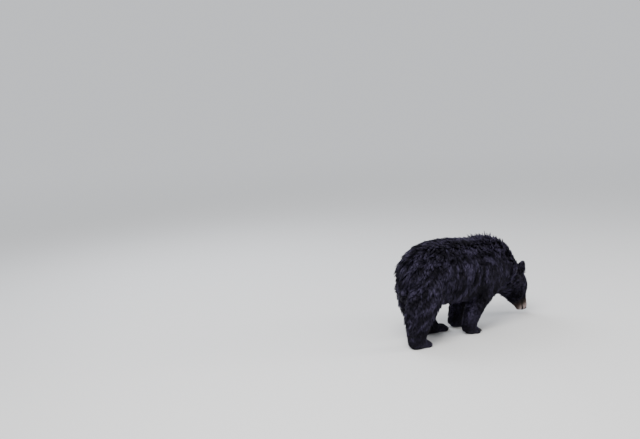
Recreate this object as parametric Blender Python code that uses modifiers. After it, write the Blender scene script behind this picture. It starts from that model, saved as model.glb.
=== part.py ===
"""A life-size American black bear that walks with its head lowered to feed, as a still museum model.

+X is where the bear faces, +Y is its left and +Z is up. The origin is on the floor, at the middle of the
bear's box. The solids reach to the tips of the coat. The body is lofted from sections, fused into one
surface, and then parted by thin cuts into the pieces that a person would name.
"""

from collections import namedtuple
from math import cos, pi, radians, sin

import bmesh
import bpy
from mathutils import Matrix, Vector

HIP_HEIGHT = 0.80  # metres from the floor to the top of the coat over the hips, the bear's highest place
UNIT = HIP_HEIGHT / 100  # the body's measures below are in hundredths of that height

SEAM = 0.0005  # metres left open between neighbouring pieces
VOXEL = 0.005  # metres, the grain of the fused surface before it is thinned
FINE_PASSES = 3  # smoothing passes over the whole surface
SMOOTHING = 0.5  # how far a pass moves a point towards its neighbours' middle
FUSING_PASSES = 16  # more passes, away from the face and the feet, that run the limbs into the trunk
BODY_TRIANGLES = 3300  # what the fused surface keeps
LOFT_SIDES = 28
LOFT_STEPS = 5  # rings between two sections
REACH = 200  # farther than the bear reaches, for the cutters

HEAD_PITCH = radians(-67)  # where the muzzle points, below the horizontal
NOSE_TIP = Vector((92.5, 0, 4.5))
FACE = Vector((cos(HEAD_PITCH), 0, sin(HEAD_PITCH)))  # from the poll towards the nose
CROWN = Vector((-FACE.z, 0, FACE.x))  # from the jaw towards the forehead
LEFT = Vector((0, 1, 0))

Section = namedtuple("Section", "x y z over under side")

# The trunk from the rump to the neck. over and under are measured across the line, up and down.
TRUNK = [
    Section(-74.0, 0, 55.0, 9, 9, 8),
    Section(-72.3, 0, 56.5, 17, 17, 14.5),
    Section(-68.0, 0, 59.5, 22.5, 23, 19.5),
    Section(-60.5, 0, 63.5, 27.8, 27, 24.5),
    Section(-49.0, 0, 66.5, 31.2, 30, 28),
    Section(-33.0, 0, 67.5, 32.0, 32.5, 30),
    Section(-16.0, 0, 67.0, 31.0, 34.0, 30.5),
    Section(0.0, 0, 65.5, 30.0, 33.5, 30.5),
    Section(16.0, 0, 64.0, 30.0, 31.5, 29.5),
    Section(30.0, 0, 62.5, 31.0, 29.0, 27.5),
    Section(43.0, 0, 59.5, 28.6, 26.5, 25),
    Section(53.5, 0, 54.0, 20.8, 24.5, 22.5),
    Section(62.5, 0, 47.0, 16.0, 21.5, 20),
    Section(69.5, 0, 39.5, 11.5, 18.5, 17.5),
    Section(74.5, 0, 33.0, 8.5, 14.0, 13.5),
]

HAUNCH = (-65.5, 9.5, 57.0)  # the middle of the left one
HAUNCH_SIZE = (13.5, 11.5, 16)

# The head from the nose to the nape: the distance behind the nose, then crown, jaw and half width.
HEAD = [
    (0.0, 2.2, 2.6, 2.5),
    (1.6, 3.9, 5.0, 4.2),
    (5.5, 4.9, 8.2, 5.4),
    (11.5, 5.7, 11.4, 6.4),
    (17.5, 6.9, 14.6, 8.0),
    (22.5, 8.8, 16.8, 10.6),
    (28.0, 10.3, 18.6, 13.2),
    (34.0, 10.8, 19.4, 14.4),
    (40.0, 10.3, 19.4, 14.8),
    (46.5, 9.2, 18.6, 14.8),
    (53.0, 8.0, 16.4, 13.8),
    (58.0, 5.5, 10.0, 9.0),
]

# A limb's half sizes from the body down to the foot: fore, aft and side.
FORE_GIRTHS = [
    (14.0, 14.0, 11.0),
    (11.5, 14.5, 12.0),
    (9.2, 12.6, 11.0),
    (7.6, 9.8, 9.4),
    (6.6, 8.2, 8.0),
    (6.4, 7.4, 7.4),
    (7.0, 6.8, 7.4),
]
HIND_GIRTHS = [
    (16.0, 17.0, 11.5),
    (18.0, 20.0, 13.0),
    (15.5, 21.5, 12.5),
    (12.5, 18.5, 10.8),
    (10.0, 13.0, 9.4),
    (9.0, 8.6, 8.6),
    (8.8, 7.4, 8.0),
]
# Each limb's line through x, y and z, from the body down to the foot.
LIMBS = {
    "front_right": [
        (31, -13, 60),
        (22.5, -15.5, 48),
        (11.5, -15.5, 37),
        (3, -15, 26),
        (-3, -14.5, 15),
        (-5.2, -14, 8),
        (-5.2, -14, 3),
    ],
    "front_left": [
        (34, 13, 60),
        (27, 15.5, 48),
        (18, 15.5, 37),
        (10.5, 15, 26),
        (5, 14.5, 15),
        (2.5, 14, 8),
        (2, 14, 3),
    ],
    "hind_right": [
        (-53, -14, 66),
        (-60, -15, 54),
        (-67, -15, 42),
        (-72.5, -14.5, 30),
        (-76, -14, 18),
        (-78, -13.5, 9),
        (-78, -13.5, 3),
    ],
    "hind_left": [
        (-48, 14, 66),
        (-50, 15.5, 54),
        (-50, 16, 42),
        (-47, 15.5, 30),
        (-41, 14.5, 18),
        (-35, 14, 9),
        (-33, 14, 3),
    ],
}
# Where each foot's sole has its middle.
FEET = {
    "front_right": (-2.0, -14.5),
    "front_left": (5.5, 14.5),
    "hind_right": (-73.0, -14.0),
    "hind_left": (-23.0, 14.5),
}
Foot = namedtuple("Foot", "length width height toe claw")
FORE_FOOT = Foot(15.5, 14.5, 7.5, 2.6, 5.2)
HIND_FOOT = Foot(24.0, 14.0, 7.5, 2.5, 3.8)
TOE_LENGTH = 1.55  # a toe's half length over its half width
TOE_DEPTH = 1.05  # and its half height over it
TOE_RISE = 0.9  # its middle's height over it
TOE_SPREAD = 0.205  # from toe to toe, over the foot's width
TOE_ARC = 0.035  # how far the arc of toes falls back at first, over the foot's length
TOE_ARC_BEND = 1.6
# The two masses of a foot: how far before its middle and how high they are, and their half sizes.
Mass = namedtuple("Mass", "before rise length width height")
BALL = Mass(0.12, 0.36, 0.33, 0.46, 0.62)
HEEL = Mass(-0.17, 0.45, 0.33, 0.42, 0.68)
FOOT_TOP = 12.0  # below this height the surface keeps its detail
FACE_LENGTH = 27.0  # and so does the face, so far behind the nose
FACE_START = 55.0  # a length along x that leaves the rest of the body out of the face

# The trunk keeps a keel between its limbs: narrow up to the belly, then wider up to the joint.
Keel = namedtuple("Keel", "narrow belly wide joint")
FORE_KEEL = Keel(1.5, 32, 12, 70)
HIND_KEEL = Keel(0.7, 36, 13, 80)
CUT_ROOM = 3.0  # how far a limb's cutter stands off it, before and behind
CUT_SPREAD = 0.8  # and how much more behind, for each step up from the floor
CUT_BEHIND = 10.5  # the most that it stands off behind
CUT_RISE = 0.75  # height of its round top over its radius
CUT_BELOW = 30  # how far below the floor it goes
CUT_STEPS = 16  # corners of its round top
PAW_TOP = 9.5
FOOT_ROOM = 14  # how much longer than the limb's end a foot may be
NECK_CUT = Vector((48, 0, 56))
NECK_FACING = Vector((cos(radians(-25)), 0, sin(radians(-25))))
HEAD_CUT = 45.0  # behind the nose
MOUTH_LINE = -4.2  # from the head's line towards the jaw
MOUTH_END = 14.5  # behind the nose
JAW_ROOM = 10  # how far the jaw's cutter reaches before the nose, and a third of how far below it

EYE_RADIUS = 0.0115  # metres
EAR_ROOT = (50.2, 5.6, 10.4)  # its middle: behind the nose, above the head's line and to its side
EAR_TIP = (-0.87, 0.36, 0.17)  # where it points: along the face, up and to its side
EAR_OPENING = (0.12, 0.40, 0.91)  # where its cup opens, the same way
EAR_LENGTH = 17.0
EAR_WIDTH = 12.4
EAR_CUP = 3.6
EAR_MIDDLE = 0.3  # how far its edge stands out, over the cup's depth
EAR_HOLLOW = 0.85  # how far its inside sinks below the edge, over the cup's depth
EAR_BACK = 1.15  # and its back
EAR_RIM = 0.55  # half of its thickness
EQUATOR = 0.05  # what counts as its edge, over its half width
CLAW_STEPS = 4
CLAW_CURL = radians(55)
CLAW_ROOT = (0.75, 0.45)  # how far before and above the toe's middle it starts, over the toe's half width
CLAW_WIDTH = 0.30  # half its width at the root, over the toe's half width
CLAW_DEPTH = 1.35  # its half height over its half width
CLAW_POINT = 0.10  # its half width at the point
CLAW_TAPER = 0.7
NOSE_SIZE = Vector((2.5, 3.1, 2.35))
NOSTRIL_SIZE = (1.3, 0.62, 0.75)
EYE_PLACE = (20.2, 5.0, 5.6)  # behind the nose, above the head's line and to its side
CREASE = radians(50)  # edges sharper than this stay sharp


def catmull_rom(before, start, end, after, share):
    """The value a share of the way from start to end, on a curve through all four."""
    square = share * share
    cube = square * share
    return 0.5 * (
        2 * start
        + (end - before) * share
        + (2 * before - 5 * start + 4 * end - after) * square
        + (3 * start - before - 3 * end + after) * cube
    )


def smooth_line(sections, steps):
    """The sections, with so many rings to each gap between them."""
    padded = [sections[0], *sections, sections[-1]]
    line = []
    for index in range(len(sections) - 1):
        window = padded[index : index + 4]
        for step in range(steps):
            values = [catmull_rom(*four, step / steps) for four in zip(*window)]
            line.append(Section(*values))
    return [*line, sections[-1]]


def loft(name, sections, sides=LOFT_SIDES, steps=LOFT_STEPS):
    """A closed tube whose rings stand across a line that runs roughly in the bear's lengthwise plane."""
    line = smooth_line(sections, steps)
    places = [Vector((ring.x, ring.y, ring.z)) for ring in line]
    mesh = bmesh.new()
    rings = []
    for index, ring in enumerate(line):
        along = places[min(index + 1, len(places) - 1)] - places[max(index - 1, 0)]
        along.normalize()
        up = along.cross(LEFT).normalized()
        side = up.cross(along)
        corners = []
        for turn in range(sides):
            angle = 2 * pi * turn / sides
            rise = ring.over if sin(angle) > 0 else ring.under
            offset = side * (ring.side * cos(angle)) + up * (rise * sin(angle))
            corners.append(mesh.verts.new((places[index] + offset) * UNIT))
        rings.append(corners)
    for lower, upper in zip(rings, rings[1:]):
        for turn in range(sides):
            following = (turn + 1) % sides
            mesh.faces.new((lower[turn], lower[following], upper[following], upper[turn]))
    mesh.faces.new(rings[0])
    mesh.faces.new(rings[-1])
    bmesh.ops.recalc_face_normals(mesh, faces=mesh.faces)
    return new_object(name, mesh)


def new_object(name, mesh):
    """An object in the scene from a bmesh, which it frees."""
    data = bpy.data.meshes.new(name)
    mesh.to_mesh(data)
    mesh.free()
    made = bpy.data.objects.new(name, data)
    bpy.context.scene.collection.objects.link(made)
    return made


def ellipsoid(name, place, radii, turn=None, segments=20):
    """A ball stretched along the axes of turn, with its middle and half sizes in the body's measures."""
    mesh = bmesh.new()
    bmesh.ops.create_uvsphere(mesh, u_segments=segments, v_segments=segments * 2 // 3, radius=UNIT)
    matrix = Matrix.Translation(Vector(place) * UNIT) @ (turn or Matrix.Identity(3)).to_4x4()
    bmesh.ops.transform(mesh, matrix=matrix @ Matrix.Diagonal((*radii, 1)), verts=mesh.verts)
    return new_object(name, mesh)


def prism(name, outline, axis, low, high):
    """A flat outline run from low to high along an axis: "y" takes x and z corners, "x" takes y and z."""
    mesh = bmesh.new()
    ends = []
    for level in (low, high):
        corners = [(across, level, z) if axis == "y" else (level, across, z) for across, z in outline]
        ends.append([mesh.verts.new(Vector(corner) * UNIT) for corner in corners])
    mesh.faces.new(ends[0])
    mesh.faces.new(ends[1])
    for index in range(len(outline)):
        following = (index + 1) % len(outline)
        mesh.faces.new((ends[0][index], ends[0][following], ends[1][following], ends[1][index]))
    bmesh.ops.recalc_face_normals(mesh, faces=mesh.faces)
    return new_object(name, mesh)


def half_space(name, place, facing):
    """A huge block that holds all that lies beyond a plane, on the side it faces."""
    mesh = bmesh.new()
    bmesh.ops.create_cube(mesh, size=REACH * UNIT)
    turn = Vector(facing).to_track_quat("Z", "Y").to_matrix().to_4x4()
    middle = (Vector(place) + Vector(facing).normalized() * (REACH / 2)) * UNIT
    bmesh.ops.transform(mesh, matrix=Matrix.Translation(middle) @ turn, verts=mesh.verts)
    return new_object(name, mesh)


def baked(piece):
    """Turns a piece's modifiers into its mesh."""
    bpy.context.view_layer.update()
    graph = bpy.context.evaluated_depsgraph_get()
    data = bpy.data.meshes.new_from_object(piece.evaluated_get(graph))
    piece.modifiers.clear()
    piece.data = data


def combine(piece, other, operation):
    """Cuts, keeps or joins by another object, which stays."""
    step = piece.modifiers.new(operation, "BOOLEAN")
    step.operation = operation
    step.solver = "EXACT"
    step.object = other
    baked(piece)


def twin(piece, name):
    """A second object with its own copy of the mesh."""
    made = piece.copy()
    made.data = piece.data.copy()
    made.name = name
    bpy.context.scene.collection.objects.link(made)
    return made


def drop(*pieces):
    for piece in pieces:
        bpy.data.objects.remove(piece)


def part_off(body, name, region):
    """Takes what lies in a region off the body as a piece of its own. region(grow) makes the cutter."""
    exact = region(0)
    wider = region(SEAM / UNIT)
    piece = twin(body, name)
    combine(piece, exact, "INTERSECT")
    combine(body, wider, "DIFFERENCE")
    drop(exact, wider)
    return piece


def on_head(behind, up, left=0.0):
    """A place on the head: so far behind the nose, above the head's line and to its left."""
    return NOSE_TIP - FACE * behind + CROWN * up + LEFT * left


HEAD_TURN = Matrix((FACE, LEFT, CROWN)).transposed()  # its columns point to the nose, the left and the crown


def haunch_forms():
    """The two masses that run the rump into the backs of the thighs."""
    x, y, z = HAUNCH
    return [ellipsoid("haunch_form", (x, side * y, z), HAUNCH_SIZE) for side in (-1, 1)]


def head_forms():
    """The skull with its coat, the cheeks, the brows, the muzzle's sides and the chin."""
    sections = []
    for behind, crown, jaw, half in HEAD:
        place = on_head(behind, 0)
        sections.append(Section(place.x, 0, place.z, crown, jaw, half))
    sections.reverse()
    forms = [loft("head_form", sections)]
    forms.append(ellipsoid("chin_form", on_head(7.6, -6.4), (5.2, 3.6, 3.0), HEAD_TURN))
    for side in (-1, 1):
        cheek = on_head(31, -7.0, side * 8.2)
        forms.append(ellipsoid("cheek_form", cheek, (10.5, 7.6, 10.0), HEAD_TURN))
        forms.append(ellipsoid("brow_form", on_head(24.5, 6.4, side * 4.8), (5.6, 3.2, 3.2), HEAD_TURN))
        forms.append(ellipsoid("lip_form", on_head(6.5, -2.2, side * 2.9), (5.2, 2.9, 3.4), HEAD_TURN))
    return forms


def toe_places(name):
    """The middles of the five toes, which lie on an arc at the front of the foot."""
    foot = foot_of(name)
    x, y = FEET[name]
    front = x + foot.length / 2 - foot.toe * TOE_LENGTH
    places = []
    for toe in range(-2, 3):
        back = abs(toe) ** TOE_ARC_BEND * foot.length * TOE_ARC
        places.append(Vector((front - back, y + toe * foot.width * TOE_SPREAD, foot.toe * TOE_RISE)))
    return places


def foot_of(name):
    return FORE_FOOT if name.startswith("front") else HIND_FOOT


def foot_forms(name):
    """The ball of a foot, its heel and its five toes."""
    foot = foot_of(name)
    x, y = FEET[name]
    forms = []
    for mass in (BALL, HEEL):
        place = (x + foot.length * mass.before, y, foot.height * mass.rise)
        radii = (foot.length * mass.length, foot.width * mass.width, foot.height * mass.height)
        forms.append(ellipsoid("foot_form", place, radii))
    toe_radii = (foot.toe * TOE_LENGTH, foot.toe, foot.toe * TOE_DEPTH)
    for place in toe_places(name):
        forms.append(ellipsoid("toe_form", place, toe_radii))
    return forms


def limb_forms(name):
    sections = [Section(*place, *girth) for place, girth in zip(LIMBS[name], girths_of(name))]
    return [loft("limb_form", sections)]


def fused(forms):
    """All the forms as one closed surface, which stands on flat soles."""
    bpy.ops.object.select_all(action="DESELECT")
    for form in forms:
        form.select_set(True)
    bpy.context.view_layer.objects.active = forms[0]
    bpy.ops.object.join()
    body = bpy.context.view_layer.objects.active
    remesh = body.modifiers.new("Fuse", "REMESH")
    remesh.mode = "VOXEL"
    remesh.voxel_size = VOXEL
    baked(body)
    smooth(body.data)
    thin = body.modifiers.new("Thin", "DECIMATE")
    thin.ratio = BODY_TRIANGLES / (2 * len(body.data.polygons))
    thin.use_collapse_triangulate = True
    baked(body)
    floor = half_space("floor", (0, 0, 0), (0, 0, -1))
    combine(body, floor, "DIFFERENCE")
    drop(floor)
    return body


def is_detailed(place):
    """Whether a place, in the body's measures, is on a foot or on the face."""
    on_face = (NOSE_TIP - place).dot(FACE) < FACE_LENGTH and place.x > FACE_START
    return place.z < FOOT_TOP or on_face


def smooth(data):
    """Rounds the whole surface a little, and all but the face and the feet a good deal more."""
    mesh = bmesh.new()
    mesh.from_mesh(data)
    everything = list(mesh.verts)
    coarse = [vertex for vertex in everything if not is_detailed(vertex.co / UNIT)]
    all_ways = {"use_axis_x": True, "use_axis_y": True, "use_axis_z": True}
    for passes, chosen in ((FINE_PASSES, everything), (FUSING_PASSES, coarse)):
        for _ in range(passes):
            bmesh.ops.smooth_vert(mesh, verts=chosen, factor=SMOOTHING, **all_ways)
    mesh.to_mesh(data)
    mesh.free()


def girths_of(name):
    return FORE_GIRTHS if name.startswith("front") else HIND_GIRTHS


def limb_outline(name, grow):
    """The side view of a limb's cutter: round over the joint, and a little wider than the limb below it."""
    line, girths = LIMBS[name], girths_of(name)
    room = CUT_ROOM + grow
    before = [(x + fore + room, z) for (x, _, z), (fore, _, _) in zip(line, girths)]
    behind = []
    for (x, _, z), (_, aft, _) in zip(line, girths):
        behind.append((x - aft - min(room + CUT_SPREAD * z, CUT_BEHIND + grow), z))
    middle = (before[0][0] + behind[0][0]) / 2
    radius = before[0][0] - middle
    top = []
    for step in range(1, CUT_STEPS):
        angle = pi * step / CUT_STEPS
        top.append((middle + radius * cos(angle), line[0][2] + radius * CUT_RISE * sin(angle)))
    toes = before[-1][0] + FOOT_ROOM
    bottom = [(behind[-1][0], -CUT_BELOW), (toes, -CUT_BELOW), (toes, PAW_TOP)]
    return [*bottom, *before[-2::-1], *top, *behind]


def limb_region(name, grow):
    """All that belongs to a limb: its outline from the side, and from the front what is outside the keel."""
    keel = FORE_KEEL if name.startswith("front") else HIND_KEEL
    side = 1 if name.endswith("left") else -1
    across = prism("limb_outline", limb_outline(name, grow), "y", -REACH, REACH)
    low, high = keel.narrow - grow, keel.wide - grow
    inner = [(low, -REACH), (low, keel.belly), (high, keel.joint), (high, REACH)]
    corners = [*inner, (REACH, REACH), (REACH, -REACH)]
    region = prism("limb_region", [(side * y, z) for y, z in corners], "x", -REACH, REACH)
    combine(region, across, "INTERSECT")
    drop(across)
    return region


def paw_region(grow):
    return half_space("paw_region", (0, 0, PAW_TOP + grow), (0, 0, -1))


def neck_region(grow):
    return half_space("neck_region", NECK_CUT - NECK_FACING * grow, NECK_FACING)


def head_region(grow):
    return half_space("head_region", on_head(HEAD_CUT + grow, 0), FACE)


def claw(place, foot):
    """A curved claw that comes out over the toe and points forward and down."""
    sections = []
    for step in range(CLAW_STEPS + 1):
        share = step / CLAW_STEPS
        curl = share * CLAW_CURL
        x = place.x + foot.toe * CLAW_ROOT[0] + foot.claw * sin(curl) / CLAW_CURL
        z = place.z + foot.toe * CLAW_ROOT[1] - foot.claw * (1 - cos(curl)) / CLAW_CURL
        width = foot.toe * CLAW_WIDTH * (1 - share) ** CLAW_TAPER + CLAW_POINT
        sections.append(Section(x, place.y, z, width * CLAW_DEPTH, width * CLAW_DEPTH, width))
    return loft("claw", sections, sides=6, steps=1)


def head_direction(parts, side):
    """A direction from its shares along the face, up and to one side."""
    return (FACE * parts[0] + CROWN * parts[1] + LEFT * (side * parts[2])).normalized()


def ear(side, name):
    """A rounded cup that stands on the back of the head and opens forwards and outwards."""
    tip = head_direction(EAR_TIP, side)
    across = tip.cross(head_direction(EAR_OPENING, side)).normalized()
    opening = across.cross(tip)
    place = on_head(EAR_ROOT[0], EAR_ROOT[1], side * EAR_ROOT[2])
    mesh = bmesh.new()
    bmesh.ops.create_uvsphere(mesh, u_segments=14, v_segments=8, radius=1)
    for vertex in mesh.verts:
        along, sideways, out = vertex.co.x, vertex.co.y, vertex.co.z
        if out > EQUATOR:
            depth = EAR_CUP * (EAR_MIDDLE - EAR_HOLLOW * out) + EAR_RIM
        elif out < -EQUATOR:
            depth = EAR_CUP * (EAR_MIDDLE + EAR_BACK * out) - EAR_RIM
        else:
            depth = EAR_CUP * EAR_MIDDLE
        spot = place + tip * (along * EAR_LENGTH / 2) + across * (sideways * EAR_WIDTH / 2) + opening * depth
        vertex.co = spot * UNIT
    bmesh.ops.recalc_face_normals(mesh, faces=mesh.faces)
    return new_object(name, mesh)


def tail():
    """A short brush that hangs against the rump."""
    sections = [
        Section(-75.5, 0, 70.0, 2.8, 2.8, 3.6),
        Section(-80.4, 0, 66.5, 3.4, 3.4, 4.2),
        Section(-82.5, 0, 60.5, 3.6, 3.6, 4.6),
        Section(-82.6, 0, 54.5, 3.1, 3.1, 4.0),
        Section(-82.0, 0, 50.0, 1.7, 1.7, 2.2),
        Section(-81.6, 0, 48.0, 0.5, 0.5, 0.7),
    ]
    return loft("tail", sections, sides=12, steps=2)


def grown(piece):
    """A copy of a piece, a seam's width larger all round."""
    made = twin(piece, "grown")
    swell = made.modifiers.new("Grow", "DISPLACE")
    swell.strength = SEAM
    swell.mid_level = 0
    baked(made)
    return made


def stand_on(piece, carrier):
    """Trims a piece where it would run into the one that carries it, and keeps the main part of it."""
    cutter = grown(carrier)
    combine(piece, cutter, "DIFFERENCE")
    drop(cutter)
    keep_main_part(piece)


def keep_main_part(piece):
    """Deletes the crumbs that a cut leaves beside a piece."""
    mesh = bmesh.new()
    mesh.from_mesh(piece.data)
    waiting = set(mesh.verts)
    islands = []
    while waiting:
        island = {waiting.pop()}
        edge_of_island = list(island)
        while edge_of_island:
            vertex = edge_of_island.pop()
            found = {edge.other_vert(vertex) for edge in vertex.link_edges} - island
            island |= found
            edge_of_island += found
        waiting -= island
        islands.append(island)
    main_part = max(islands, key=len)
    crumbs = [vertex for island in islands if island is not main_part for vertex in island]
    bmesh.ops.delete(mesh, geom=crumbs, context="VERTS")
    mesh.to_mesh(piece.data)
    mesh.free()


def nose_form(grow):
    radii = NOSE_SIZE + Vector((grow, grow, grow))
    return ellipsoid("nose", on_head(1.1, 1.2), radii, HEAD_TURN, segments=12)


def eye_form(side, grow):
    radius = EYE_RADIUS / UNIT + grow
    place = on_head(EYE_PLACE[0], EYE_PLACE[1], side * EYE_PLACE[2])
    return ellipsoid("eye", place, (radius, radius, radius), segments=12)


def nose(head):
    """The bare nose, let into the end of the muzzle, with its two nostrils."""
    pad = nose_form(0)
    socket = nose_form(SEAM / UNIT)
    combine(head, socket, "DIFFERENCE")
    drop(socket)
    for side in (-1, 1):
        place = on_head(-1.3, 1.1, side * 1.5)
        nostril = ellipsoid("nostril", place, NOSTRIL_SIZE, HEAD_TURN, segments=10)
        combine(pad, nostril, "DIFFERENCE")
        drop(nostril)
    return pad


def jaw_region(grow):
    """The lower jaw: all of the muzzle under the mouth's line, from the chin to the mouth's corner."""
    front, end = -JAW_ROOM, MOUTH_END + grow
    bottom, top = -3 * JAW_ROOM, MOUTH_LINE + grow
    corners = [(front, bottom), (end, bottom), (end, top), (front, top)]
    outline = []
    for behind, up in corners:
        place = on_head(behind, up)
        outline.append((place.x, place.z))
    return prism("jaw_region", outline, "y", -REACH, REACH)


def finish(piece, name, material):
    piece.name = name
    piece.data.name = name
    piece.data.materials.clear()
    piece.data.materials.append(material)
    piece.data.shade_smooth()
    piece.data.set_sharp_from_angle(angle=CREASE)
    return piece


def surface(name, colour, roughness):
    made = bpy.data.materials.new(name)
    made.use_nodes = True
    shader = made.node_tree.nodes["Principled BSDF"]
    shader.inputs["Base Color"].default_value = (*colour, 1)
    shader.inputs["Roughness"].default_value = roughness
    shader.inputs["Metallic"].default_value = 0
    return made


def fur_material():
    return surface("black_coat", (0.012, 0.011, 0.017), 0.75)


def muzzle_material():
    return surface("tan_coat", (0.19, 0.14, 0.11), 0.75)


def nose_material():
    return surface("nose_leather", (0.015, 0.013, 0.014), 0.4)


def eye_material():
    return surface("eye", (0.02, 0.010, 0.006), 0.08)


def claw_material():
    return surface("claw_horn", (0.045, 0.035, 0.028), 0.35)


def settle(pieces):
    """Moves every piece so that the origin is on the floor, at the middle of the whole bear's box."""
    corners = [vertex.co for piece in pieces for vertex in piece.data.vertices]
    middle_x = (min(c.x for c in corners) + max(c.x for c in corners)) / 2
    middle_y = (min(c.y for c in corners) + max(c.y for c in corners)) / 2
    lowest = min(c.z for c in corners)
    for piece in pieces:
        piece.data.transform(Matrix.Translation((-middle_x, -middle_y, -lowest)))


def main():
    for old in list(bpy.data.objects):
        bpy.data.objects.remove(old)

    forms = [loft("trunk_form", TRUNK)] + haunch_forms() + head_forms()
    for name in LIMBS:
        forms += limb_forms(name) + foot_forms(name)
    body = fused(forms)

    fur, claws = fur_material(), claw_material()
    pieces = []
    for name in LIMBS:
        leg = part_off(body, "leg_" + name, lambda grow, name=name: limb_region(name, grow))
        paw = part_off(leg, "paw_" + name, paw_region)
        for count, place in enumerate(toe_places(name), 1):
            claw_piece = claw(place, foot_of(name))
            stand_on(claw_piece, paw)
            pieces.append(finish(claw_piece, f"claw_{name}_{count}", claws))
        pieces.append(finish(leg, "leg_" + name, fur))
        pieces.append(finish(paw, "paw_" + name, fur))

    neck = part_off(body, "neck", neck_region)
    head = part_off(neck, "head", head_region)
    tail_piece = tail()
    stand_on(tail_piece, body)
    for side, word in ((-1, "right"), (1, "left")):
        ear_piece = ear(side, "ear_" + word)
        stand_on(ear_piece, head)
        stand_on(ear_piece, neck)
        pieces.append(finish(ear_piece, "ear_" + word, fur))
        socket = eye_form(side, SEAM / UNIT)
        combine(head, socket, "DIFFERENCE")
        drop(socket)
        pieces.append(finish(eye_form(side, 0), "eye_" + word, eye_material()))
    pieces.append(finish(nose(head), "nose", nose_material()))
    jaw = part_off(head, "lower_jaw", jaw_region)
    pieces.append(finish(jaw, "lower_jaw", muzzle_material()))
    pieces.append(finish(head, "head", fur))
    pieces.append(finish(neck, "neck", fur))
    pieces.append(finish(tail_piece, "tail", fur))
    pieces.append(finish(body, "trunk", fur))

    settle(pieces)
    bear = bpy.data.collections.new("black_bear")
    bpy.context.scene.collection.children.link(bear)
    for piece in pieces:
        bpy.context.scene.collection.objects.unlink(piece)
        bear.objects.link(piece)


main()
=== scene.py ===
from functools import partial
from math import cos, pi, radians, sin

import bpy
import numpy as np
from mathutils import Matrix, Vector, kdtree


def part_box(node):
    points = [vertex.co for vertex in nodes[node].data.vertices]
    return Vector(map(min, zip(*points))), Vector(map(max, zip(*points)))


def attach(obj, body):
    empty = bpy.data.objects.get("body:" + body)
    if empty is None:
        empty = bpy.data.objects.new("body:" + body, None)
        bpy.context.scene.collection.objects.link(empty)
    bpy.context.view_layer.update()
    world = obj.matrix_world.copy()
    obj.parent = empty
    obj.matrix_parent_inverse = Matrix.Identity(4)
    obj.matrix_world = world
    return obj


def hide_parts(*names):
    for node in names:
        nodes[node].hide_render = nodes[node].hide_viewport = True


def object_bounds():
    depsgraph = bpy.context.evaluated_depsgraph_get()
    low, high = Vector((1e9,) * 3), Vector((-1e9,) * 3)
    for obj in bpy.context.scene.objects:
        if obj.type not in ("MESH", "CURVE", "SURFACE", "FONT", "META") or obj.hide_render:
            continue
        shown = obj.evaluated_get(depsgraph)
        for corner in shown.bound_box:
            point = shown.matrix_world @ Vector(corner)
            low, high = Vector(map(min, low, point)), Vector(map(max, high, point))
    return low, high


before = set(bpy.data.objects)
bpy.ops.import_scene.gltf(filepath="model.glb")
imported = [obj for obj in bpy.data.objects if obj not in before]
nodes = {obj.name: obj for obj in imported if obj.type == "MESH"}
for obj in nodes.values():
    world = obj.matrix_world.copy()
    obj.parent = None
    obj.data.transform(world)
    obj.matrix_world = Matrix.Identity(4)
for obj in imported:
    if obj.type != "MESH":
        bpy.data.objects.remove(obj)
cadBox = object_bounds()
unit = 0.008  # metres; the hips are a hundred of these high

# the head's own directions: along the muzzle, up through the forehead, and to the bear's left
facePitch = radians(-67)
faceAxis = np.array([cos(facePitch), 0, sin(facePitch)])
crownAxis = np.array([-sin(facePitch), 0, cos(facePitch)])
leftAxis = np.array([0.0, 1.0, 0.0])
headStart = 0.45  # metres ahead of the middle; everything on the head is further on
sides = {"right": -1, "left": 1}  # and which way each is along y
limbNames = ["front_right", "front_left", "hind_right", "hind_left"]


def boxMiddle(name):
    low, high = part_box(name)
    return (np.array(low) + np.array(high)) / 2


def headWay(shares, out):  # a direction from its shares along the face, up and out to one side
    ahead, up, aside = shares
    way = faceAxis * ahead + crownAxis * up + leftAxis * (aside * out)
    return way / np.linalg.norm(way)


noseShape = {
    "size": (2.5, 3.1, 2.35),  # half sizes along the face, across and up, in the head's units
    "square": 2.5,  # 2 would be a plain ball
    "front": 0.92,
    "cleft": 0.07,
    "nostril": (0.46, 0.12),  # its middle across and up, over the half sizes
    "nostrilSize": (0.25, 0.26),
    "nostrilDepth": 0.008,
    "dip": (0.0006, -0.0016),  # width and depth of the step round the nostril and its slit
    "rim": (0.0008, -0.0014),
    "slit": 0.42,  # how steeply its slit runs down as it goes out
}
earShape = {
    "tip": (-0.87, 0.36, 0.17),  # which way it points, and which way it opens
    "opening": (0.12, 0.4, 0.91),
    "reach": 6.2 * unit,  # from its middle to its rim
    "near": 0.08,
    "depth": -0.0022,  # of its coat: less than nothing, so that the ear stays full
    "hollow": 0.008,
    "round": 0.0075,
    "bow": 0.011,
}

noseMiddle = boxMiddle("nose")
noseTip = noseMiddle + (faceAxis * 1.1 - crownAxis * 1.2) * unit  # places on the head count from here
eyeMiddles = {side: boxMiddle("eye_" + side) for side in sides}
eyeRadius = (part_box("eye_right")[1].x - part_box("eye_right")[0].x) / 2
ears = []  # of each its side, its middle, the way to its tip and the way that it opens
for side, out in sides.items():
    earWays = [headWay(earShape[name], out) for name in ("tip", "opening")]
    ears.append((out, boxMiddle("ear_" + side), *earWays))


def headPlaces(points):  # how far behind the nose, above the head's line and to its left, in units
    away = (points - noseTip) / unit
    return -away @ faceAxis, away @ crownAxis, away[:, 1]


def noseReach(points):  # 1 on the bare nose's surface, less inside it
    away = (points - noseMiddle) / unit
    sizes = np.array(noseShape["size"])
    return np.linalg.norm(np.stack([away @ faceAxis, away[:, 1], away @ crownAxis], 1) / sizes, axis=1)


def ramp(values, start, end):  # 0 before start, 1 past end, smooth between
    share = np.clip((values - start) / (end - start), 0, 1)
    return share * share * (3 - 2 * share)


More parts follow.
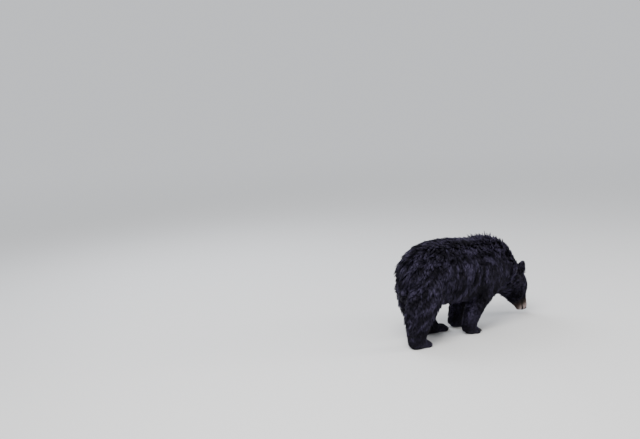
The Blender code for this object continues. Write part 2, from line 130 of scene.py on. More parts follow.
def bell(values, width):  # 1 at nought, fading out on both sides
    return np.exp(-((values / width) ** 2))


def blend(first, second, share):  # goes from the first direction to the second as the share grows
    return (1 - share)[:, None] * np.array(first) + share[:, None] * np.array(second)


def unitRows(vectors):
    return vectors / np.maximum(np.linalg.norm(vectors, axis=1, keepdims=True), 1e-9)


def laidAlong(ways, normals):  # with nothing of them standing off the surface
    return unitRows(ways - normals * (ways * normals).sum(1, keepdims=True))


def valuesOf(items, name, width, kind=np.float32):
    found = np.empty(len(items) * width, kind)
    items.foreach_get(name, found)
    return found.reshape(-1, width)


def pointsOf(mesh):
    return valuesOf(mesh.vertices, "co", 3).astype(float)


def normalsOf(mesh):
    return valuesOf(mesh.vertices, "normal", 3).astype(float)


def edgesOf(mesh):
    return valuesOf(mesh.edges, "vertices", 2, np.int32)


def put(items, name, values, kind=np.float32):
    items.foreach_set(name, np.asarray(values, kind).ravel())


def setPoints(mesh, points):
    put(mesh.vertices, "co", points)
    mesh.update()


def smoothed(values, edges, rounds, share=0.5):  # each value goes part way to its neighbours' mean
    count = len(values)
    degree = np.maximum(np.bincount(edges.ravel(), minlength=count), 1)
    columns = [values[:, k].copy() for k in range(values.shape[1])]
    for _ in range(rounds):
        for k, column in enumerate(columns):
            total = np.bincount(edges[:, 0], column[edges[:, 1]], count)
            total += np.bincount(edges[:, 1], column[edges[:, 0]], count)
            columns[k] = column + (total / degree - column) * share
    return np.stack(columns, 1)


def soften(points, edges, rounds, mask):  # smooths as far as the mask says
    points += (smoothed(points, edges, rounds) - points) * mask[:, None]


def treeOf(places):
    tree = kdtree.KDTree(len(places))
    for index, place in enumerate(places):
        tree.insert(Vector(place), index)
    tree.balance()
    return tree


def nearest(tree, points):  # the number of the tree's place that is nearest to each point
    return np.array([tree.find(Vector(point))[1] for point in points])


def choose(active, *others):  # leaves edit mode and selects these pieces alone
    if bpy.context.mode != "OBJECT":
        bpy.ops.object.mode_set(mode="OBJECT")
    bpy.ops.object.select_all(action="DESELECT")
    for piece in (active, *others):
        piece.select_set(True)
    bpy.context.view_layer.objects.active = active


def edit(piece):  # goes into edit mode with all of a piece selected
    choose(piece)
    bpy.ops.object.mode_set(mode="EDIT")
    bpy.ops.mesh.select_all(action="SELECT")


def editSome(mesh, kind, chosen):  # the same with some of its vertices or polygons, the piece being active
    for name in ("vertices", "edges", "polygons"):
        items = getattr(mesh, name)
        put(items, "select", chosen if name == kind else np.zeros(len(items)), bool)
    bpy.context.tool_settings.mesh_select_mode = (kind == "vertices", False, kind == "polygons")
    bpy.ops.object.mode_set(mode="EDIT")


def made(name):  # the piece that the last step made, given its name
    piece = bpy.context.view_layer.objects.active
    piece.name = name
    piece.data.name = name
    return piece


def addObject(name, data):
    piece = bpy.data.objects.new(name, data)
    bpy.context.scene.collection.objects.link(piece)
    return piece


def applyModifier(piece, kind, **settings):
    choose(piece)
    modifier = piece.modifiers.new(kind.lower(), kind)
    for name, value in settings.items():
        setattr(modifier, name, value)
    bpy.ops.object.modifier_apply(modifier=modifier.name)


def subdivide(piece):
    applyModifier(piece, "SUBSURF", levels=1, render_levels=1)


def applyPlace(piece):
    choose(piece)
    bpy.ops.object.transform_apply(location=True, rotation=True, scale=True)


def stand(piece, *columns):  # turns a piece's x, y and z to the first three, and moves it to the last
    matrix = np.eye(4)
    matrix[:3] = np.stack(columns, 1)
    piece.matrix_world = Matrix(matrix.tolist())


# the families of flesh nodes, which the coat's table below goes by
families = ["trunk", "neck", "head", "jaw", "tail", "ear", "legFront", "legHind", "paw"]
fleshNodes = {"trunk": "trunk", "neck": "neck", "head": "head", "lower_jaw": "jaw", "tail": "tail"}
fleshNodes.update({"ear_" + side: "ear" for side in sides})
for limb in limbNames:
    fleshNodes["leg_" + limb] = "legFront" if limb.startswith("front") else "legHind"
    fleshNodes["paw_" + limb] = "paw"

fleshFaces = [face.center.copy() for name in fleshNodes for face in nodes[name].data.polygons]
facesEach = [len(nodes[name].data.polygons) for name in fleshNodes]
familyOfFace = np.repeat([families.index(family) for family in fleshNodes.values()], facesEach)
fleshTree = treeOf(fleshFaces)


def familiesAt(points):
    return familyOfFace[nearest(fleshTree, points)]


def areOf(kinds, *names):  # whether each is one of these families
    return np.isin(kinds, [families.index(name) for name in names])


# what the coat is like on each family: its lengths in metres, its tips' lift in degrees, how crowded the
# tufts are, how far they gather, how wide a lock is, and how unruly the locks are
coat = {
    "columns": ["depth", "length", "tipLift", "width", "crowd", "clump", "lock", "shag"],
    "trunk": [0.025, 0.07, 8, 0.0042, 1.00, 0.68, 0.021, 0.35],
    "neck": [0.024, 0.064, 9, 0.0042, 1.1, 0.64, 0.02, 0.3],
    "head": [0.0095, 0.024, 6, 0.0025, 2.2, 0.42, 0.01, 0.12],
    "jaw": [0.0035, 0.01, 4, 0.0017, 3.6, 0.25, 0.006, 0.0],
    "tail": [0.014, 0.056, 8, 0.004, 1.4, 0.64, 0.017, 0.6],
    "ear": [0.0022, 0.013, 10, 0.0019, 2.9, 0.25, 0.006, 0.1],
    "legFront": [0.018, 0.048, 8, 0.0038, 1.15, 0.64, 0.017, 0.4],
    "legHind": [0.021, 0.056, 8, 0.0042, 1.05, 0.66, 0.019, 0.5],
    "paw": [0.006, 0.016, 6, 0.0026, 2.00, 0.38, 0.008, 0.1],
    "spread": 90,  # rounds of smoothing that run one family's coat into the next
    "ripple": 0.24,  # how high the coat's folds are, over its depth
    "foldLength": 0.18,
    "foldWidth": 0.028,
}


def coatColumn(values, name):
    return values[:, coat["columns"].index(name)]


def lattice(cells, seed):  # a fixed random number, from 0 to 1, for each whole place
    mixed = (cells[:, 0] * 73856093) ^ (cells[:, 1] * 19349663) ^ (cells[:, 2] * 83492791) ^ (seed * 2654435)
    mixed = (mixed ^ (mixed >> 13)) * 1274126177
    return ((mixed ^ (mixed >> 16)) & 65535) / 65535


def noiseAt(places, seed):  # smooth noise over space, from -1 to 1
    places = places + seed * 7.31
    cells = np.floor(places).astype(np.int64)
    share = ramp(places - cells, 0, 1)
    total = np.zeros(len(places))
    for corner in np.ndindex(2, 2, 2):
        weight = np.prod(np.where(corner, share, 1 - share), axis=1)
        total += weight * lattice(cells + np.array(corner), seed)
    return total * 2 - 1


def streaks(points, along, seed):  # noise drawn out along one direction
    along = np.array(along, float) / np.linalg.norm(along)
    across = np.cross(along, leftAxis)
    places = [points @ along / coat["foldLength"]]
    places += [points @ across / coat["foldWidth"], points @ leftAxis / coat["foldWidth"]]
    return noiseAt(np.stack(places, 1), seed)


def foldsAt(points, normals):  # the folds in the coat, which run the way that it lies
    rump = ramp(-points[:, 0], 0.3, 0.52)
    top = ramp(normals[:, 2], 0.35, 0.8) * (1 - rump)
    flank = 1 - rump - top
    folds = flank * streaks(points, (-0.22, 0, -1), 3) + rump * streaks(points, (-0.85, 0, -0.7), 5)
    return folds + top * streaks(points, (-1, 0, 0.05), 8)


def coatAt(points, normals, edges, rounds):  # the coat's columns at each point
    kinds = familiesAt(points)
    values = np.array([coat[family] for family in families], float)[kinds]
    x, z = points[:, 0], points[:, 2]
    behind, above, left = headPlaces(points)

    def lean(mask, **wanted):  # moves columns towards what is wanted, as far as the mask says
        for name, value in wanted.items():
            column = coatColumn(values, name)
            column += mask * (value - column)

    onHead = areOf(kinds, "head", "jaw")
    onLeg = areOf(kinds, "legFront", "legHind")
    onTrunk = areOf(kinds, "trunk")
    muzzle = onHead * (1 - ramp(behind, 11, 21))  # the coat is shortest from the nose to the eyes
    lean(muzzle, depth=0.0032, length=0.009, width=0.0016, crowd=3.8, clump=0.2, lock=0.006)
    for middle in eyeMiddles.values():
        gap = np.linalg.norm(points - middle, axis=1) / eyeRadius
        socket = onHead * (1 - ramp(gap, 1.7, 3.6))
        lean(socket, depth=0.0032, length=0.008, width=0.0014, crowd=5.5, clump=0.2, lock=0.005, shag=0)
    cheek = onHead * ramp(behind, 22, 34) * ramp(-above + 0.35 * np.abs(left), -4, 5)
    lean(cheek, depth=0.018, length=0.048, width=0.0034, crowd=1.5, clump=0.55, lock=0.015, shag=0.35)
    beard = onHead * ramp(-above, 5, 9) * ramp(behind, 9, 14) * (1 - ramp(behind, 30, 38))
    lean(beard, length=0.034, tipLift=32, width=0.0026, crowd=2.4, clump=0.6, lock=0.012, shag=0.7)
    nape = onHead * ramp(behind, 33, 45)
    lean(nape, depth=0.021, length=0.056, width=0.0038, crowd=1.3, clump=0.58, lock=0.018, shag=0.3)
    lower = onLeg * (1 - ramp(z, 0.1, 0.34))  # and shorter on the lower legs
    lean(lower, depth=0.0115, length=0.034, width=0.0032, crowd=1.5, lock=0.013)
    rump = onTrunk * ramp(-x, 0.3, 0.58)
    lean(rump, depth=0.029, length=0.086, shag=0.55)
    withers = areOf(kinds, "trunk", "neck") * ramp(normals[:, 2], 0.62, 0.92)
    withers = withers * ramp(x, 0.05, 0.15) * (1 - ramp(x, 0.34, 0.46))  # where the hair stands up
    lean(withers, length=0.084, tipLift=58, shag=1.0, lock=0.015, clump=0.82)
    fringe = (onTrunk | onLeg) * ramp(-normals[:, 0], 0.35, 0.85) * ramp(z, 0.12, 0.25)
    fringe = fringe * (1 - ramp(z, 0.5, 0.64))  # shaggy down the backs of the legs
    lean(fringe, shag=1.0, tipLift=16)
    under = onTrunk * ramp(-normals[:, 2], 0.3, 0.9)  # little shows of the belly
    lean(under, crowd=0.7, shag=0.6)
    depth = coatColumn(values, "depth")
    depth *= ramp(z, -0.002, 0.022) * 0.999 + 0.001  # there is none under the soles
    return smoothed(values, edges, rounds)


# how the hair lies, before it is laid along the surface: towards the tail, the ground or the toes
def flowAt(points, normals, edges, rounds):
    kinds = familiesAt(points)
    flow = np.zeros_like(points)
    x = points[:, 0]
    flank = ramp(np.abs(normals[:, 1]), 0.15, 0.85)
    top = ramp(normals[:, 2], -0.2, 0.6)
    side = blend([-0.42, 0, -1], [-0.85, 0, -0.2], ramp(x, 0.1, 0.38))  # it turns at the shoulder
    back = blend([-1, 0, -0.05], side, flank)
    ear = np.zeros_like(points)
    for out, middle, tip, _ in ears:  # it fans out to the ear's rim
        fan = unitRows(points - (middle - tip * 0.045)) + 0.25 * tip
        ear += fan * (points[:, 1] * out > 0)[:, None]
    guides = {
        "trunk": blend(back, [-0.85, 0, -0.75], ramp(-x, 0.34, 0.6)),
        "neck": blend([-0.85, 0, 0.25], [-0.75, 0, 0.55], top),
        "head": -faceAxis - 0.3 * (1 - top)[:, None] * crownAxis,
        "jaw": -faceAxis - 0.2 * crownAxis,
        "tail": [-0.15, 0, -1],
        "ear": ear,
        "legFront": [-0.3, 0, -1],
        "legHind": [-0.38, 0, -1],
        "paw": [0.75, 0, -0.5],
    }
    for family, guide in guides.items():
        here = areOf(kinds, family)
        flow[here] = np.broadcast_to(guide, points.shape)[here]
    flow = smoothed(unitRows(flow), edges, rounds)
    for middle in eyeMiddles.values():  # it parts round the eyes
        away = points - middle
        gap = np.linalg.norm(away, axis=1)
        share = (1 - ramp(gap, eyeRadius * 0.9, eyeRadius * 2.4))[:, None]
        flow += (unitRows(away) * 1.2 - flow * 0.6) * share
    return unitRows(smoothed(laidAlong(flow, normals), edges, 8))


skinShape = {
    "grain": 0.004,  # of the fused surface, before it is thinned
    "seal": 0.0008,  # how far the nodes swell, to close the gaps between them
    "rounds": 24,  # smoothing before the coat's depth is taken off
    "firm": 0.85,  # share of that smoothing which the face and the feet are spared
    "kept": 0.2,  # share of the surface's triangles that stays, away from the face
}

# the eyes and their lids: how the opening lies, and its half sizes over the eye's radius
eyes = {
    "looks": (0.4, 0.48, 0.78),  # along the face, up and to the side
    "tilt": radians(14),  # the inner corner is the lower one
    "halfLength": 0.84,
    "upper": 0.5,
    "lower": 0.42,
    "lid": 0.0017,  # how thick the lids are
    "fold": 0.0009,  # the crease round them
    "sunk": 0.8,  # where the skin goes on inside the eye, over its radius
    "blend": 0.003,  # how softly the lids run into the face
    "cornea": ((0.8, 0.0004), (0.9, 0.0002)),  # it stands a little proud, in two steps
}

# the mouth, in the head's units
mouth = {
    "line": -4.3,
    "end": 14.5,  # how far behind the nose its corner is
    "sag": 0.5,
    "rise": 0.5,  # at its corner
    "groove": 0.004,  # metres
    "grooveWidth": 0.36,
    "upperLip": 0.0018,
    "lowerLip": 0.0012,
    "philtrum": 0.0016,
}


def eyeAxes(side):  # outwards, along the opening towards the nose, and up
    outward = headWay(eyes["looks"], sides[side])
    along = faceAxis - outward * (faceAxis @ outward)
    along = along / np.linalg.norm(along)
    raised = np.cross(outward, along)
    raised = raised * np.sign(raised @ crownAxis)
    turn = eyes["tilt"]
    return outward, along * cos(turn) - raised * sin(turn), raised * cos(turn) + along * sin(turn)


def lidPlace(points, side):  # 0 in the middle of the eye's opening, 1 at the lids' edge, more outside it
    outward, along, raised = eyeAxes(side)
    away = points - eyeMiddles[side]
    ways = unitRows(away)
    up = ways @ raised
    height = np.where(up > 0, eyes["upper"], eyes["lower"])
    place = np.abs(ways @ along / eyes["halfLength"]) ** 1.8 + np.abs(up) / height
    return np.where(ways @ outward > 0.05, place, 4.0), np.linalg.norm(away, axis=1)


def mouthApart(points):  # how far above the mouth's line, and how much of a mouth there is
    behind, above = headPlaces(points)[:2]
    share = np.clip(behind / mouth["end"], 0, 1)
    line = mouth["line"] - mouth["sag"] * np.sin(pi * share) + mouth["rise"] * share**2
    return above - line, 1 - ramp(behind, mouth["end"] - 1.5, mouth["end"] + 0.8)


def fuseFlesh():  # one closed surface from copies of the nodes
    copies = []
    for name in [*fleshNodes, "nose", "eye_right", "eye_left"]:
        copies.append(addObject(name, nodes[name].data.copy()))
        copies[-1].matrix_world = nodes[name].matrix_world
    choose(copies[-1], *copies)
    bpy.ops.object.join()
    skin = made("bearSkin")
    skin.data.materials.clear()
    edit(skin)
    bpy.ops.mesh.remove_doubles(threshold=1e-5)
    bpy.ops.transform.shrink_fatten(value=skinShape["seal"])
    applyModifier(skin, "REMESH", mode="VOXEL", voxel_size=skinShape["grain"])
    return skin


def earPlaces(points, ear):  # way from the ear's middle in its plane, how far, and its shoulders
    out, middle, tip, opening = ear
    away = points - middle
    away -= np.outer(away @ opening, opening)
    gap = np.linalg.norm(away, axis=1)
    turn = np.arccos(np.clip(away @ tip / np.maximum(gap, 1e-6), -1, 1))
    shoulder = np.sin(np.clip(turn, 0, pi / 2) * 2) ** 2 * (points[:, 1] * out > 0)
    back = ramp(-(away @ crownAxis), -0.008, 0.008)
    return away, gap, shoulder * (1.5 * back - 0.5)


def earHollow(points, normals):  # 1 in the ear's hollow, 0 from its rim out
    share = np.zeros(len(points))
    for ear in ears:
        _, middle, _, opening = ear
        gap = earPlaces(points, ear)[1] / earShape["reach"]
        near = np.linalg.norm(points - middle, axis=1) < earShape["near"]
        hollow = ramp(normals @ opening, 0.0, 0.5) * (1 - ramp(gap, 0.5, 0.95)) * near
        share = np.maximum(share, hollow)
    return share


def roundEars(points, onEar):  # fuller behind the tip, less so before it, and bowed outwards
    for ear in ears:
        out, _, tip, opening = ear
        away, gap, shoulder = earPlaces(points, ear)
        full = shoulder * ramp(gap, 0.012, 0.045) * onEar
        points += unitRows(away) * (full * earShape["round"])[:, None]
        high = np.clip(away @ tip / earShape["reach"], 0, 1)
        bow = (1 - 0.75 * high ** 2) * onEar * (points[:, 1] * out > 0) * earShape["bow"]
        points += np.outer(bow, opening)


def takeOffCoat(skin):  # moves the surface in by the coat's depth
    mesh = skin.data
    edges = edgesOf(mesh)
    points = pointsOf(mesh)
    onFloor = (points[:, 2] < 0.003) & (normalsOf(mesh)[:, 2] < -0.6)
    behind = headPlaces(points)[0]
    face = (1 - ramp(behind, 20, 32)) * (points[:, 0] > headStart)
    feet = 1 - ramp(points[:, 2], 0.05, 0.09)
    isEar = areOf(familiesAt(points), "ear")
    earShare = smoothed(isEar[:, None].astype(float), edges, 6)[:, 0]
    onEar = ramp(earShare, 0.25, 0.75)
    firm = np.maximum(skinShape["firm"] * np.maximum(face, feet), ramp(earShare, 0.1, 0.5))
    soften(points, edges, skinShape["rounds"], 1 - firm)
    setPoints(mesh, points)
    normals = unitRows(smoothed(normalsOf(mesh), edges, 8))
    depth = coatColumn(coatAt(points, normals, edges, coat["spread"]), "depth")
    depth *= 1 + coat["ripple"] * foldsAt(points, normals)
    depth += (earShape["depth"] - depth) * onEar
    depth += earShape["hollow"] * earHollow(points, normals) * onEar
    points -= normals * depth[:, None]
    roundEars(points, onEar)
    soften(points, edges, 4, 1 - ramp(earShare, 0.2, 0.7))
    points[onFloor, 2] = 0
    points[:, 2] = np.maximum(points[:, 2], 0)
    setPoints(mesh, points)
    group = skin.vertex_groups.new(name="thin")
    free = (points[:, 2] > 0.012) & ((points[:, 0] < headStart) | (behind > 24)) & ~isEar
    group.add(np.nonzero(free)[0].tolist(), 1.0, "REPLACE")
    thinning = {"ratio": skinShape["kept"], "vertex_group": "thin", "use_collapse_triangulate": True}
    applyModifier(skin, "DECIMATE", **thinning)
    skin.vertex_groups.clear()


def refine(skin, chosen):  # splits the faces whose corners are all chosen
    choose(skin)
    editSome(skin.data, "vertices", chosen)
    bpy.ops.mesh.subdivide(number_cuts=1)
    choose(skin)


def onFace(points, reach):
    return (headPlaces(points)[0] < reach) & (points[:, 0] > headStart)


def nearEyes(points, reach):  # reach is over the eye's radius
    gaps = [np.linalg.norm(points - middle, axis=1) for middle in eyeMiddles.values()]
    return np.minimum(*gaps) < eyeRadius * reach


def shapeFace(skin):  # lids over the eyes, lips and a groove between them
    mesh = skin.data
    refine(skin, onFace(pointsOf(mesh), 17) | nearEyes(pointsOf(mesh), 4.0))
    points = pointsOf(mesh)
    lips = onFace(points, 15.5) & (np.abs(mouthApart(points)[0]) < 1.7)
    refine(skin, lips | nearEyes(points, 2.3))
    refine(skin, nearEyes(pointsOf(mesh), 1.75))

    points, edges = pointsOf(mesh), edgesOf(mesh)
    here = onFace(points, 27)
    soften(points, edges, 5, here)  # rounds the split faces
    setPoints(mesh, points)
    normals = normalsOf(mesh)
    behind, _, left = headPlaces(points)
    apart, share = mouthApart(points)
    swell = -mouth["groove"] * bell(apart, mouth["grooveWidth"])
    swell += mouth["upperLip"] * bell(apart - 1.15, 0.75)
    swell += mouth["lowerLip"] * bell(apart + 1.0, 0.7)
    split = bell(left, 0.3) * ramp(apart, -0.2, 0.4) * (1 - ramp(behind, 2.0, 4.0))
    points += normals * (swell * (share * here) - mouth["philtrum"] * split * here)[:, None]

    for side, middle in eyeMiddles.items():
        place, gap = lidPlace(points, side)
        near = (gap < eyeRadius * 3) & (place < 4)
        shell = eyeRadius + eyes["lid"]
        soft = shell + eyes["blend"] * np.logaddexp(0, (gap - shell) / eyes["blend"])
        soft -= eyes["fold"] * bell(place - 1.75, 0.22)
        inside = eyeRadius * eyes["sunk"]
        reach = inside + (soft - inside) * ramp(place, 0.84, 1.1)
        ways = unitRows(points - middle)
        points[near] = middle + ways[near] * reach[near, None]
        soften(points, edges, 3, near & (place > 1.35))
    setPoints(mesh, points)


def unwrapSkin(skin):  # an even unwrap, on which each tuft finds its root's place
    skin.data.uv_layers.new(name="OFBake")
    edit(skin)
    bpy.ops.uv.smart_project(angle_limit=radians(66), island_margin=0.002)
    choose(skin)
    bpy.ops.object.shade_smooth()


bearSkin = fuseFlesh()
takeOffCoat(bearSkin)
shapeFace(bearSkin)
print("skin:", len(bearSkin.data.polygons), "faces")
unwrapSkin(bearSkin)
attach(bearSkin, "root")
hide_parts(*fleshNodes)
print("skin unwrapped")


# where the tufts grow, how they bend and how many there are
tufts = {
    "count": 112000,
    "seed": 7,
    "steps": [0.0, 0.3, 0.66, 1.0],  # along a tuft, from its root to its tip
    "girths": [1.0, 0.74],  # of the two rings between them
    "ridge": 0.4,  # height of the ridge over the width
    "buried": 0.002,  # how far the root is inside the skin
    "lockSpread": 2.6,  # the larger locks over the smaller ones
    "rise": 1.12,  # how high the tips come over the coat's depth
    "shagRise": 0.008,
    "rootShare": 0.435,  # how much of a tuft's rise comes from its lift at the root, and at the tip
    "tipShare": 0.5,
    "past": 0.009,  # metres past the solids' sides, from where the hair lies flatter
    "flatter": 0.3,
    "wander": ((0.2, 0.09), (0.14, 0.035)),  # how far its ways turn, over what distances
    "lockLift": 15,  # degrees by which an unruly lock stands off
    "lockTurn": 0.3,
    "lockLength": 0.22,
    "bareLids": 1.24,  # no tufts inside this, the lids' edge being 1
    "bareNose": 1.12,
    "bareLips": 0.5,
    "patch": 0.003,  # a tuft's patch on the map
}

# how light the hair is, from 0 to 1, and what it varies by; its light end is a painted violet sheen, and the
# darkening in the folds' troughs and in the ears' hollows is painted shade
toneShares = {
    "middle": 0.49,
    "lock": 0.17,
    "bunch": 0.09,
    "tuft": 0.08,
    # darker where the coat's folds lie lower: painted shade in their troughs
    "fold": 0.58,
    "flank": 0.03,
    "flankFoldShade": 0.32,  # more painted shade in the troughs of the flank's folds, which show the most
    "flankLock": 0.5,  # and this much less for its locks
    "earRim": 0.16,
    # darker in the ear's hollow: painted shade
    "earHollow": 0.4,
}


class Roots:  # places on the skin, each with all that the coat's fields say there
    def __init__(self, skin, fields):
        mesh = skin.data
        mesh.calc_loop_triangles()
        self.corners = valuesOf(mesh.loop_triangles, "vertices", 3, np.int32)
        loops = valuesOf(mesh.loop_triangles, "loops", 3, np.int32)
        self.maps = valuesOf(mesh.uv_layers["OFBake"].data, "uv", 2)[loops]
        self.fields = fields
        a, b, c = (fields["points"][self.corners[:, k]] for k in range(3))
        self.areas = np.linalg.norm(np.cross(b - a, c - a), axis=1) / 2

    def scatter(self, count, crowd, random):
        weight = self.areas * crowd[self.corners].mean(1)
        ends = np.cumsum(weight)
        spots = (np.arange(count) + random.random(count)) * (ends[-1] / count)
        chosen = np.minimum(np.searchsorted(ends, spots), len(ends) - 1)
        first = np.sqrt(random.random(count))
        second = random.random(count)
        shares = np.stack([1 - first, first * (1 - second), first * second], 1)
        found = {"map": (self.maps[chosen] * shares[:, :, None]).sum(1)}
        for name, values in self.fields.items():
            found[name] = (values[self.corners[chosen]] * shares[:, :, None]).sum(1)
        found["normals"] = unitRows(found["normals"])
        found["flow"] = laidAlong(found["flow"], found["normals"])
        return found


def turned(vectors, axes, angles):  # each vector about its own axis
    cosine, sine = np.cos(angles)[:, None], np.sin(angles)[:, None]
    return vectors * cosine + np.cross(axes, vectors) * sine


def centreLines(found):  # four points of each tuft: it leaves the skin, then bends over
    steps = tufts["steps"]
    lines = [found["points"] - found["normals"] * tufts["buried"]]
    place = found["points"]
    for start, end in zip(steps, steps[1:]):
        middle = (start + end) / 2
        angle = found["lift"] * (1 - middle) ** 1.3 + found["tipLift"] * middle
        ahead = found["flow"] * np.cos(angle)[:, None] + found["normals"] * np.sin(angle)[:, None]
        place = place + ahead * (found["length"] * (end - start))[:, None]
        lines.append(place)
    return np.stack(lines, 1)


def placeLocks(roots, spread, random):  # the places that tufts gather round, each with its own ways
    size = coatColumn(roots.fields["coat"], "lock") * spread
    count = int((roots.areas / size[roots.corners].mean(1) ** 2).sum())
    locks = roots.scatter(count, size**-2.0, random)
    locks["own"] = np.clip(random.normal(0, 1, (count, 4)), -2, 2)
    return locks


def shape(found, own, random, spread):  # turns each tuft and settles its length and lifts
    count = len(own)
    depth, length, tipLift = found["coat"][:, :3].T
    shag = coatColumn(found["coat"], "shag")
    points = found["points"]
    wander = enumerate(tufts["wander"], 11)
    angles = sum(turn * noiseAt(points / reach, seed) for seed, (turn, reach) in wander)
    angles += own[:, 0] * tufts["lockTurn"] * (0.25 + 0.75 * shag) + random.normal(0, spread, count)
    found["flow"] = turned(found["flow"], found["normals"], angles)
    uneven = 1 + 0.1 * noiseAt(points / 0.05, 13) + random.normal(0, spread, count)
    length = length * np.clip(uneven + own[:, 1] * tufts["lockLength"] * shag, 0.5, 1.6)
    tips = np.radians(tipLift + random.normal(0, 4, count) + own[:, 2] * tufts["lockLift"] * shag)
    rise = depth * tufts["rise"] + shag * tufts["shagRise"]
    lift = (rise / length - tufts["tipShare"] * np.sin(np.radians(tipLift))) / tufts["rootShare"]
    found["length"] = length
    found["lift"] = np.arcsin(np.clip(lift, 0.12, 0.92)) * (1 + random.normal(0, spread, count))
    found["tipLift"] = np.clip(tips, -0.12, 1.2)


def gather(lines, found, locks, mine, strength):  # tufts lean together towards a lock's own line
    leaders = centreLines(locks)
    same = (locks["normals"][mine] * found["normals"]).sum(1) > 0.2
    for index, step in enumerate(tufts["steps"][1:], 1):
        pull = (strength * step**1.4 * same)[:, None]
        lines[:, index] += (leaders[mine, index] - lines[:, index]) * pull


# a tuft's corners: its root, two rings of left, right and ridge, and its tip
tuftFaces = np.array([
    [0, 2, 1], [0, 3, 2], [0, 1, 3],
    [1, 2, 5], [1, 5, 4], [2, 3, 6], [2, 6, 5], [3, 1, 4], [3, 4, 6],
    [4, 5, 7], [5, 6, 7], [6, 4, 7],
])
tuftReach = np.repeat(tufts["steps"], [1, 3, 3, 1])
tuftMap = np.stack([[0.5, 0, 1, 0.5, 0, 1, 0.5, 0.5], tuftReach], 1)


def tuftCorners(lines, normals, widths):
    corners = np.empty((len(lines), len(tuftMap), 3))
    corners[:, 0] = lines[:, 0]
    corners[:, 7] = lines[:, 3]
    for ring, girth in enumerate(tufts["girths"]):
        place = lines[:, ring + 1]
        along = unitRows(lines[:, ring + 2] - lines[:, ring])
        side = unitRows(np.cross(along, normals))
        rise = np.cross(side, along)
        half = (widths * girth / 2)[:, None]
        base = place - rise * half * tufts["ridge"]
        corners[:, 1 + ring * 3] = base - side * half
        corners[:, 2 + ring * 3] = base + side * half
        corners[:, 3 + ring * 3] = place + rise * half * tufts["ridge"] * 1.4
    corners[:, :, 2] = np.maximum(corners[:, :, 2], 0.0008)
    return corners


def coatPiece(name, corners, maps, tones):
    count = len(corners)
    mesh = bpy.data.meshes.new(name)
    faces = (tuftFaces[None] + (np.arange(count) * len(tuftMap))[:, None, None]).reshape(-1, 3)
    mesh.vertices.add(count * len(tuftMap))
    mesh.loops.add(len(faces) * 3)
    mesh.polygons.add(len(faces))
    put(mesh.vertices, "co", corners)
    put(mesh.loops, "vertex_index", faces, np.int32)
    put(mesh.polygons, "loop_start", np.arange(len(faces)) * 3, np.int32)
    put(mesh.polygons, "use_smooth", np.ones(len(faces)), bool)
    mesh.update(calc_edges=True)
    places = (tuftMap - 0.5) * tufts["patch"] + maps[:, None]
    places = np.clip(places, 0, 1).reshape(-1, 2)[faces.ravel()]
    put(mesh.uv_layers.new(name="OFBake").data, "uv", places)
    shades = {"reach": np.tile(tuftReach, count), "tone": np.repeat(tones, len(tuftMap))}
    for shade, values in shades.items():
        put(mesh.attributes.new(shade, "FLOAT", "POINT").data, "value", values)
    piece = addObject(name, mesh)
    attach(piece, "root")
    return piece


def crowdAt(points, normals, crowd):  # how crowded the tufts are, and where there are none
    crowd = crowd.copy()
    crowd[(points[:, 2] < 0.004) & (normals[:, 2] < -0.5)] = 0  # the soles are bare
    for side in sides:
        place, gap = lidPlace(points, side)
        crowd[(place < tufts["bareLids"]) & (gap < eyeRadius * 2)] = 0
    apart, share = mouthApart(points)
    crowd[onFace(points, 15) & (np.abs(apart) < tufts["bareLips"]) & (share > 0.4)] = 0
    crowd[noseReach(points) < tufts["bareNose"]] = 0
    return crowd


def tonesOf(found, kind, lockOwn, bunchOwn, random):
    shares = toneShares
    points, normals = found["points"], found["normals"]
    flank = areOf(kind, "trunk", "neck") * ramp(np.abs(normals[:, 1]), 0.5, 0.9)
    flank = flank * ramp(points[:, 0], -0.3, -0.16) * (1 - ramp(points[:, 0], 0.26, 0.38))
    tones = shares["middle"] + shares["lock"] * lockOwn * (1 - shares["flankLock"] * flank)
    tones += shares["bunch"] * bunchOwn
    tones += random.normal(0, shares["tuft"], len(points)) + shares["flank"] * flank
    # painted shade in the troughs of the coat's folds, where the coat lies lower
    tones -= (shares["fold"] + shares["flankFoldShade"] * flank) * foldsAt(points, normals)
    isEar = areOf(kind, "ear")
    hollow = earHollow(points, normals) * isEar
    rim = isEar * (1 - ramp(hollow, 0.0, 0.3)) * (normals @ faceAxis < 0.3)
    # the ear's hollow is darkened with painted shade
    return np.clip(tones + (shares["earRim"] * rim - shares["earHollow"] * hollow), 0, 1)


